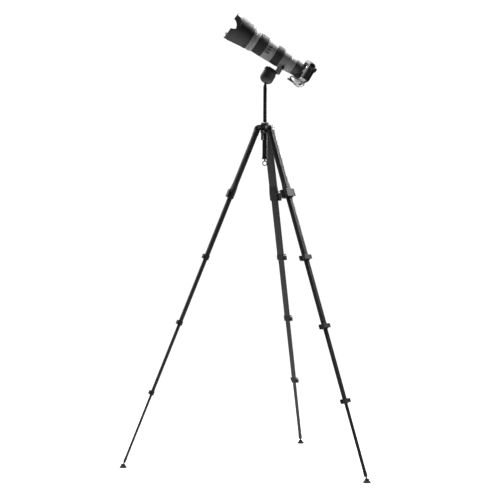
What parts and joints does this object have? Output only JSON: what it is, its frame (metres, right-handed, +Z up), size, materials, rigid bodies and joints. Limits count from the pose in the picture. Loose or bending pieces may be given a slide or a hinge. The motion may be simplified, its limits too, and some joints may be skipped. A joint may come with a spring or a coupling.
{
  "type": "film camera on tripod",
  "caption": "Single-lens reflex film camera with a long zoom lens and hood, held by the lens collar on an inverted ball head over a telescoping tripod with flip locks.",
  "frame": {"origin": "on the floor under the centre column's axis", "axes": "+Z up along the column; the lens points to -X, tilted up over leg 1; +Y is the viewer's right"},
  "size_m": [0.8615, 0.9902, 1.775],
  "materials": {
    "ball_metal": "polished",
    "barrel_paint": "light grey enamel",
    "body_leather": "leatherette grain",
    "bright_steel": "brushed",
    "cassette_metal": "printed tin, plain",
    "collar_paint": "light grey enamel",
    "column_tube": "dark anodised, satin",
    "head_paint": "black, satin",
    "hood_plastic": "matte black",
    "knob_plastic": "black",
    "leg_tube": "dark anodised, satin",
    "lens_glass": "coated",
    "lock_plastic": "matte black moulded",
    "mirror_glass": "front-silvered",
    "mount_metal": "black, satin",
    "ring_rubber": "ribbed black",
    "rubber": "matte black",
    "silver_cover": "satin silver",
    "spider_casting": "black crackle paint",
    "webbing": "light grey webbing"
  },
  "bodies": {
    "spider": {"spider": "spider_casting", "leg_bolts": "bright_steel", "column_sleeve": "column_tube"},
    "leg_1_section_1": {"leg_1_section_1": "leg_tube"},
    "leg_1_section_2": {"leg_1_section_2": "leg_tube"},
    "leg_1_section_3": {"leg_1_section_3": "leg_tube"},
    "leg_1_section_4": {"leg_1_section_4": "leg_tube"},
    "leg_1_section_5": {"leg_1_section_5": "leg_tube"},
    "leg_1_lever_1": {"leg_1_lever_1": "lock_plastic"},
    "leg_1_lever_2": {"leg_1_lever_2": "lock_plastic"},
    "leg_1_lever_3": {"leg_1_lever_3": "lock_plastic"},
    "leg_1_lever_4": {"leg_1_lever_4": "lock_plastic"},
    "leg_1_foot": {"leg_1_foot": "rubber"},
    "leg_2_section_1": {"leg_2_section_1": "leg_tube"},
    "leg_2_section_2": {"leg_2_section_2": "leg_tube"},
    "leg_2_section_3": {"leg_2_section_3": "leg_tube"},
    "leg_2_section_4": {"leg_2_section_4": "leg_tube"},
    "leg_2_section_5": {"leg_2_section_5": "leg_tube"},
    "leg_2_lever_1": {"leg_2_lever_1": "lock_plastic"},
    "leg_2_lever_2": {"leg_2_lever_2": "lock_plastic"},
    "leg_2_lever_3": {"leg_2_lever_3": "lock_plastic"},
    "leg_2_lever_4": {"leg_2_lever_4": "lock_plastic"},
    "leg_2_foot": {"leg_2_foot": "rubber"},
    "leg_3_section_1": {"leg_3_section_1": "leg_tube"},
    "leg_3_section_2": {"leg_3_section_2": "leg_tube"},
    "leg_3_section_3": {"leg_3_section_3": "leg_tube"},
    "leg_3_section_4": {"leg_3_section_4": "leg_tube"},
    "leg_3_section_5": {"leg_3_section_5": "leg_tube"},
    "leg_3_lever_1": {"leg_3_lever_1": "lock_plastic"},
    "leg_3_lever_2": {"leg_3_lever_2": "lock_plastic"},
    "leg_3_lever_3": {"leg_3_lever_3": "lock_plastic"},
    "leg_3_lever_4": {"leg_3_lever_4": "lock_plastic"},
    "leg_3_foot": {"leg_3_foot": "rubber"},
    "column": {"centre_column": "column_tube"},
    "column_lever": {"column_lever": "lock_plastic"},
    "column_hook": {"column_hook": "bright_steel"},
    "ball_stem": {"ball_stem": "ball_metal"},
    "head": {"head_housing": "head_paint", "quick_plate": "head_paint", "tripod_collar": "collar_paint"},
    "ball_knob": {"ball_knob": "knob_plastic"},
    "collar_knob": {"collar_knob": "knob_plastic"},
    "camera": {"lens_barrel": "barrel_paint", "lens_glass": "lens_glass", "lens_mount": "mount_metal", "camera_body": "body_leather", "top_cover": "silver_cover", "film_cassette": "cassette_metal", "strap": "webbing"},
    "focus_ring": {"focus_ring": "ring_rubber"},
    "zoom_ring": {"zoom_ring": "ring_rubber"},
    "lens_hood": {"lens_hood": "hood_plastic"},
    "back_door": {"back_door": "body_leather"},
    "mirror": {"mirror": "mirror_glass"},
    "rewind_knob": {"rewind_knob": "knob_plastic"},
    "wind_lever": {"wind_lever": "bright_steel"},
    "take_up_spool": {"take_up_spool": "knob_plastic"},
    "shutter_button": {"shutter_button": "bright_steel"},
    "speed_dial": {"speed_dial": "knob_plastic"},
    "lens_release": {"lens_release": "bright_steel"}
  },
  "joints": [
    {"name": "leg_1_spread", "type": "hinge", "parent": "spider", "child": "leg_1_section_1", "pos_m": [-0.028, 0, 1.32752], "axis": [0, -1, 0], "range_deg": [0, 21.8]},
    {"name": "leg_1_slide_2", "type": "slide", "parent": "leg_1_section_1", "child": "leg_1_section_2", "axis": [0.3714, 0, 0.9285], "range_m": [0, 0.229]},
    {"name": "leg_1_slide_3", "type": "slide", "parent": "leg_1_section_2", "child": "leg_1_section_3", "axis": [0.3714, 0, 0.9285], "range_m": [0, 0.257]},
    {"name": "leg_1_slide_4", "type": "slide", "parent": "leg_1_section_3", "child": "leg_1_section_4", "axis": [0.3714, 0, 0.9285], "range_m": [0, 0.273]},
    {"name": "leg_1_slide_5", "type": "slide", "parent": "leg_1_section_4", "child": "leg_1_section_5", "axis": [0.3714, 0, 0.9285], "range_m": [0, 0.254]},
    {"name": "leg_1_lever_1_flip", "type": "hinge", "parent": "leg_1_section_1", "child": "leg_1_lever_1", "pos_m": [-0.12762, 0.02575, 1.06041], "axis": [-0.3714, 0, -0.9285], "range_deg": [0, 110]},
    {"name": "leg_1_lever_2_flip", "type": "hinge", "parent": "leg_1_section_2", "child": "leg_1_lever_2", "pos_m": [-0.22719, 0.02235, 0.81268], "axis": [-0.3714, 0, -0.9285], "range_deg": [0, 110]},
    {"name": "leg_1_lever_3_flip", "type": "hinge", "parent": "leg_1_section_3", "child": "leg_1_lever_3", "pos_m": [-0.33094, 0.01945, 0.55584], "axis": [-0.3714, 0, -0.9285], "range_deg": [0, 110]},
    {"name": "leg_1_lever_4_flip", "type": "hinge", "parent": "leg_1_section_4", "child": "leg_1_lever_4", "pos_m": [-0.44073, 0.01705, 0.28526], "axis": [-0.3714, 0, -0.9285], "range_deg": [0, 110]},
    {"name": "leg_1_foot_swivel", "type": "hinge", "parent": "leg_1_section_5", "child": "leg_1_foot", "pos_m": [-0.55497, 0, 0.01], "axis": [0, -1, 0], "range_deg": [-21.8, 8]},
    {"name": "leg_2_spread", "type": "hinge", "parent": "spider", "child": "leg_2_section_1", "pos_m": [0.014, -0.02425, 1.32752], "axis": [0.866, 0.5, 0], "range_deg": [0, 21.8]},
    {"name": "leg_2_slide_2", "type": "slide", "parent": "leg_2_section_1", "child": "leg_2_section_2", "axis": [-0.1857, 0.3216, 0.9285], "range_m": [0, 0.229]},
    {"name": "leg_2_slide_3", "type": "slide", "parent": "leg_2_section_2", "child": "leg_2_section_3", "axis": [-0.1857, 0.3216, 0.9285], "range_m": [0, 0.257]},
    {"name": "leg_2_slide_4", "type": "slide", "parent": "leg_2_section_3", "child": "leg_2_section_4", "axis": [-0.1857, 0.3216, 0.9285], "range_m": [0, 0.273]},
    {"name": "leg_2_slide_5", "type": "slide", "parent": "leg_2_section_4", "child": "leg_2_section_5", "axis": [-0.1857, 0.3216, 0.9285], "range_m": [0, 0.254]},
    {"name": "leg_2_lever_1_flip", "type": "hinge", "parent": "leg_2_section_1", "child": "leg_2_lever_1", "pos_m": [0.04151, -0.1234, 1.06041], "axis": [0.1857, -0.3216, -0.9285], "range_deg": [0, 110]},
    {"name": "leg_2_lever_2_flip", "type": "hinge", "parent": "leg_2_section_2", "child": "leg_2_lever_2", "pos_m": [0.09424, -0.20793, 0.81268], "axis": [0.1857, -0.3216, -0.9285], "range_deg": [0, 110]},
    {"name": "leg_2_lever_3_flip", "type": "hinge", "parent": "leg_2_section_3", "child": "leg_2_lever_3", "pos_m": [0.14863, -0.29633, 0.55584], "axis": [0.1857, -0.3216, -0.9285], "range_deg": [0, 110]},
    {"name": "leg_2_lever_4_flip", "type": "hinge", "parent": "leg_2_section_4", "child": "leg_2_lever_4", "pos_m": [0.2056, -0.39021, 0.28526], "axis": [0.1857, -0.3216, -0.9285], "range_deg": [0, 110]},
    {"name": "leg_2_foot_swivel", "type": "hinge", "parent": "leg_2_section_5", "child": "leg_2_foot", "pos_m": [0.27749, -0.48062, 0.01], "axis": [0.866, 0.5, 0], "range_deg": [-21.8, 8]},
    {"name": "leg_3_spread", "type": "hinge", "parent": "spider", "child": "leg_3_section_1", "pos_m": [0.014, 0.02425, 1.32752], "axis": [-0.866, 0.5, 0], "range_deg": [0, 21.8]},
    {"name": "leg_3_slide_2", "type": "slide", "parent": "leg_3_section_1", "child": "leg_3_section_2", "axis": [-0.1857, -0.3216, 0.9285], "range_m": [0, 0.229]},
    {"name": "leg_3_slide_3", "type": "slide", "parent": "leg_3_section_2", "child": "leg_3_section_3", "axis": [-0.1857, -0.3216, 0.9285], "range_m": [0, 0.257]},
    {"name": "leg_3_slide_4", "type": "slide", "parent": "leg_3_section_3", "child": "leg_3_section_4", "axis": [-0.1857, -0.3216, 0.9285], "range_m": [0, 0.273]},
    {"name": "leg_3_slide_5", "type": "slide", "parent": "leg_3_section_4", "child": "leg_3_section_5", "axis": [-0.1857, -0.3216, 0.9285], "range_m": [0, 0.254]},
    {"name": "leg_3_lever_1_flip", "type": "hinge", "parent": "leg_3_section_1", "child": "leg_3_lever_1", "pos_m": [0.08611, 0.09765, 1.06041], "axis": [0.1857, 0.3216, -0.9285], "range_deg": [0, 110]},
    {"name": "leg_3_lever_2_flip", "type": "hinge", "parent": "leg_3_section_2", "child": "leg_3_lever_2", "pos_m": [0.13295, 0.18558, 0.81268], "axis": [0.1857, 0.3216, -0.9285], "range_deg": [0, 110]},
    {"name": "leg_3_lever_3_flip", "type": "hinge", "parent": "leg_3_section_3", "child": "leg_3_lever_3", "pos_m": [0.18232, 0.27688, 0.55584], "axis": [0.1857, 0.3216, -0.9285], "range_deg": [0, 110]},
    {"name": "leg_3_lever_4_flip", "type": "hinge", "parent": "leg_3_section_4", "child": "leg_3_lever_4", "pos_m": [0.23513, 0.37316, 0.28526], "axis": [0.1857, 0.3216, -0.9285], "range_deg": [0, 110]},
    {"name": "leg_3_foot_swivel", "type": "hinge", "parent": "leg_3_section_5", "child": "leg_3_foot", "pos_m": [0.27749, 0.48062, 0.01], "axis": [-0.866, 0.5, 0], "range_deg": [-21.8, 8]},
    {"name": "column_height", "type": "slide", "parent": "spider", "child": "column", "axis": [0, 0, 1], "range_m": [-0.08, 0]},
    {"name": "column_lever_flip", "type": "hinge", "parent": "spider", "child": "column_lever", "pos_m": [-0.01416, -0.01812, 1.30952], "axis": [-0.788, 0.6157, 0], "range_deg": [0, 95]},
    {"name": "hook_turn", "type": "hinge", "parent": "spider", "child": "column_hook", "pos_m": [0, 0, 1.20352], "axis": [0, 0, 1], "continuous": true},
    {"name": "pan", "type": "hinge", "parent": "column", "child": "ball_stem", "pos_m": [0, 0, 1.486], "axis": [0, 0, 1], "continuous": true},
    {"name": "tilt", "type": "hinge", "parent": "ball_stem", "child": "head", "pos_m": [0, 0, 1.519], "axis": [0, 1, 0], "range_deg": [-72, 12]},
    {"name": "ball_knob_turn", "type": "hinge", "parent": "head", "child": "ball_knob", "pos_m": [0.00875, 0.03, 1.52774], "axis": [0, 1, 0], "range_deg": [-270, 90]},
    {"name": "collar_knob_turn", "type": "hinge", "parent": "head", "child": "collar_knob", "pos_m": [0.06331, -0.0245, 1.56321], "axis": [0, 1, 0], "range_deg": [-270, 90]},
    {"name": "lens_roll", "type": "hinge", "parent": "head", "child": "camera", "pos_m": [0.07568, 0, 1.59836], "axis": [0.8572, 0, -0.515], "continuous": true},
    {"name": "focus", "type": "hinge", "parent": "camera", "child": "focus_ring", "pos_m": [-0.01946, 0, 1.65553], "axis": [0.8572, 0, -0.515], "range_deg": [-60, 60]},
    {"name": "zoom", "type": "hinge", "parent": "camera", "child": "zoom_ring", "pos_m": [0.04825, 0, 1.61484], "axis": [0.8572, 0, -0.515], "range_deg": [0, 70]},
    {"name": "hood_twist", "type": "hinge", "parent": "camera", "child": "lens_hood", "pos_m": [-0.09918, 0, 1.70342], "axis": [0.8572, 0, -0.515], "range_deg": [0, 60]},
    {"name": "door_swing", "type": "hinge", "parent": "camera", "child": "back_door", "pos_m": [0.17717, 0.0782, 1.53738], "axis": [0.515, 0, 0.8572], "range_deg": [0, 120]},
    {"name": "mirror_flip", "type": "hinge", "parent": "camera", "child": "mirror", "pos_m": [0.17615, 0, 1.55782], "axis": [0, 1, 0], "range_deg": [0, 44]},
    {"name": "rewind", "type": "hinge", "parent": "camera", "child": "rewind_knob", "pos_m": [0.18097, -0.0455, 1.57359], "axis": [0.515, 0, 0.8572], "continuous": true},
    {"name": "wind", "type": "hinge", "parent": "camera", "child": "wind_lever", "pos_m": [0.18097, 0.058, 1.57359], "axis": [0.515, 0, 0.8572], "range_deg": [0, 130]},
    {"name": "spool_turn", "type": "hinge", "parent": "camera", "child": "take_up_spool", "pos_m": [0.16036, 0.058, 1.53931], "axis": [0.515, 0, 0.8572], "range_deg": [0, 290]},
    {"name": "shutter_press", "type": "slide", "parent": "camera", "child": "shutter_button", "axis": [-0.515, 0, -0.8572], "range_m": [0, 0.0018], "stiffness_N_per_m": 400, "springref_m": -0.001},
    {"name": "speed_turn", "type": "hinge", "parent": "camera", "child": "speed_dial", "pos_m": [0.17368, 0.038, 1.57797], "axis": [0.515, 0, 0.8572], "range_deg": [-150, 150]},
    {"name": "release_press", "type": "slide", "parent": "camera", "child": "lens_release", "axis": [0.8572, 0, -0.515], "range_m": [0, 0.0018], "stiffness_N_per_m": 400, "springref_m": -0.001}
  ],
  "couplings": [
    {"joint": "spool_turn", "follows": "wind", "ratio": 2.2}
  ]
}
